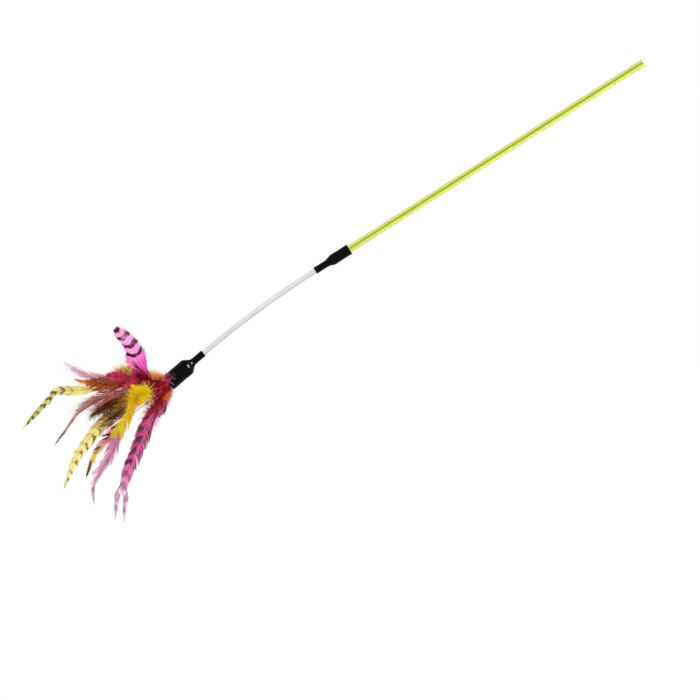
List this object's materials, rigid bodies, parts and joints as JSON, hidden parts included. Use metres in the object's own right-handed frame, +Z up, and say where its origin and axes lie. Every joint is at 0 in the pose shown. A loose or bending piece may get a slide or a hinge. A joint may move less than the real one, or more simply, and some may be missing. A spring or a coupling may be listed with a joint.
{
  "type": "cat teaser wand",
  "caption": "Hand-held cat teaser wand: tinted clear rod, black reducing sleeve, springy white stem and a bottle-shaped cap holding a splayed bunch of dyed, barred feathers.",
  "frame": {"origin": "on the rod's axis, in the middle of the grip, 45 mm from the butt end", "axes": "+X along the rod towards its butt end, so the lure is at -X; +Z up; -Y towards the viewer of the picture"},
  "size_m": [0.688, 0.1418, 0.1587],
  "materials": {
    "tinted_rod": "gloss",
    "black_rubber": "satin",
    "white_stem": "satin",
    "glue": "satin",
    "quill": "satin",
    "golden_down": "matte",
    "crimson_down": "matte",
    "striped_hackle": "matte",
    "magenta_hackle": "matte",
    "pink_hackle": "matte",
    "yellow_hackle": "matte",
    "mauve_hackle": "matte",
    "red_hackle": "matte",
    "brown_hackle": "matte",
    "pale_hackle": "matte"
  },
  "bodies": {
    "handle": {"handle_rod": "tinted_rod", "joint_sleeve": "black_rubber", "stem_section_1": "white_stem"},
    "stem_2": {"stem_section_2": "white_stem"},
    "stem_3": {"stem_section_3": "white_stem"},
    "stem_4": {"stem_section_4": "white_stem"},
    "stem_5": {"stem_section_5": "white_stem"},
    "stem_6": {"stem_section_6": "white_stem"},
    "lure": {"stem_section_7": "white_stem", "lure_cap": "black_rubber", "glue_plug": "glue", "quill_roots": "quill"},
    "golden": {"golden_feather": "golden_down"},
    "crimson": {"crimson_feather": "crimson_down"},
    "striped": {"striped_feather": "striped_hackle"},
    "magenta": {"magenta_feather": "magenta_hackle"},
    "wispy": {"wispy_feather": "pink_hackle"},
    "yellow": {"yellow_feather": "yellow_hackle"},
    "mauve": {"mauve_feather": "mauve_hackle"},
    "red": {"red_feather": "red_hackle"},
    "drooping": {"drooping_feather": "yellow_hackle"},
    "brown": {"brown_feather": "brown_hackle"},
    "upright": {"upright_feather": "pink_hackle"},
    "pale": {"pale_feather": "pale_hackle"},
    "soft": {"soft_feather": "magenta_hackle"},
    "back": {"back_feather": "yellow_hackle"}
  },
  "joints": [
    {"name": "stem_side_1", "type": "hinge", "parent": "handle", "child": "stem_2", "pos_m": [-0.3355, 0, 0], "axis": [-0.0116, 0, 0.9999], "range_deg": [-20, 20], "stiffness_Nm_per_rad": 0.175},
    {"name": "stem_lift_1", "type": "hinge", "parent": "stem_2", "child": "stem_3", "pos_m": [-0.35749, 0, -0.00051], "axis": [0, 1, 0], "range_deg": [-20, 20], "stiffness_Nm_per_rad": 0.175, "springref_deg": 3},
    {"name": "stem_side_2", "type": "hinge", "parent": "stem_3", "child": "stem_4", "pos_m": [-0.37947, 0, -0.00154], "axis": [-0.0581, 0, 0.9983], "range_deg": [-20, 20], "stiffness_Nm_per_rad": 0.175},
    {"name": "stem_lift_2", "type": "hinge", "parent": "stem_4", "child": "stem_5", "pos_m": [-0.40142, 0, -0.00307], "axis": [0, 1, 0], "range_deg": [-20, 20], "stiffness_Nm_per_rad": 0.175, "springref_deg": 3},
    {"name": "stem_side_3", "type": "hinge", "parent": "stem_5", "child": "stem_6", "pos_m": [-0.42332, 0, -0.00511], "axis": [-0.1045, 0, 0.9945], "range_deg": [-20, 20], "stiffness_Nm_per_rad": 0.175},
    {"name": "stem_lift_3", "type": "hinge", "parent": "stem_6", "child": "lure", "pos_m": [-0.44517, 0, -0.00767], "axis": [0, 1, 0], "range_deg": [-20, 20], "stiffness_Nm_per_rad": 0.175, "springref_deg": 3},
    {"name": "golden_sway", "type": "hinge", "parent": "lure", "child": "golden", "pos_m": [-0.50004, -0.00552, -0.01639], "axis": [-0.6658, 0.7402, -0.0936], "range_deg": [-15, 15], "stiffness_Nm_per_rad": 0.003},
    {"name": "crimson_sway", "type": "hinge", "parent": "lure", "child": "crimson", "pos_m": [-0.50053, -0.00467, -0.01295], "axis": [-0.5786, 0.8116, -0.0813], "range_deg": [-15, 15], "stiffness_Nm_per_rad": 0.003},
    {"name": "striped_sway", "type": "hinge", "parent": "lure", "child": "striped", "pos_m": [-0.4999, -0.00382, -0.01739], "axis": [-0.4839, 0.8725, -0.068], "range_deg": [-15, 15], "stiffness_Nm_per_rad": 0.003},
    {"name": "magenta_sway", "type": "hinge", "parent": "lure", "child": "magenta", "pos_m": [-0.4995, -0.00297, -0.02025], "axis": [-0.3829, 0.9222, -0.0538], "range_deg": [-15, 15], "stiffness_Nm_per_rad": 0.003},
    {"name": "wispy_sway", "type": "hinge", "parent": "lure", "child": "wispy", "pos_m": [-0.49971, -0.00212, -0.01879], "axis": [-0.2771, 0.96, -0.0389], "range_deg": [-15, 15], "stiffness_Nm_per_rad": 0.003},
    {"name": "yellow_sway", "type": "hinge", "parent": "lure", "child": "yellow", "pos_m": [-0.50002, -0.00127, -0.01657], "axis": [-0.1677, 0.9856, -0.0236], "range_deg": [-15, 15], "stiffness_Nm_per_rad": 0.003},
    {"name": "mauve_sway", "type": "hinge", "parent": "lure", "child": "mauve", "pos_m": [-0.50032, -0.00042, -0.01441], "axis": [-0.0561, 0.9984, -0.0079], "range_deg": [-15, 15], "stiffness_Nm_per_rad": 0.003},
    {"name": "red_sway", "type": "hinge", "parent": "lure", "child": "red", "pos_m": [-0.5009, 0.00042, -0.01026], "axis": [0.0561, 0.9984, 0.0079], "range_deg": [-15, 15], "stiffness_Nm_per_rad": 0.003},
    {"name": "drooping_sway", "type": "hinge", "parent": "lure", "child": "drooping", "pos_m": [-0.5006, 0.00127, -0.01242], "axis": [0.1677, 0.9856, 0.0236], "range_deg": [-15, 15], "stiffness_Nm_per_rad": 0.003},
    {"name": "brown_sway", "type": "hinge", "parent": "lure", "child": "brown", "pos_m": [-0.50036, 0.00212, -0.01411], "axis": [0.2771, 0.96, 0.0389], "range_deg": [-15, 15], "stiffness_Nm_per_rad": 0.003},
    {"name": "upright_sway", "type": "hinge", "parent": "lure", "child": "upright", "pos_m": [-0.50077, 0.00297, -0.01125], "axis": [0.3829, 0.9222, 0.0538], "range_deg": [-15, 15], "stiffness_Nm_per_rad": 0.003},
    {"name": "pale_sway", "type": "hinge", "parent": "lure", "child": "pale", "pos_m": [-0.50043, 0.00382, -0.01365], "axis": [0.4839, 0.8725, 0.068], "range_deg": [-15, 15], "stiffness_Nm_per_rad": 0.003},
    {"name": "soft_sway", "type": "hinge", "parent": "lure", "child": "soft", "pos_m": [-0.49984, 0.00467, -0.01785], "axis": [0.5786, 0.8116, 0.0813], "range_deg": [-15, 15], "stiffness_Nm_per_rad": 0.003},
    {"name": "back_sway", "type": "hinge", "parent": "lure", "child": "back", "pos_m": [-0.50025, 0.00552, -0.01493], "axis": [0.6658, 0.7402, 0.0936], "range_deg": [-15, 15], "stiffness_Nm_per_rad": 0.003}
  ],
  "couplings": [
    {"joint": "stem_side_2", "follows": "stem_side_1", "ratio": 1},
    {"joint": "stem_lift_2", "follows": "stem_lift_1", "ratio": 1},
    {"joint": "stem_side_3", "follows": "stem_side_1", "ratio": 1},
    {"joint": "stem_lift_3", "follows": "stem_lift_1", "ratio": 1}
  ]
}
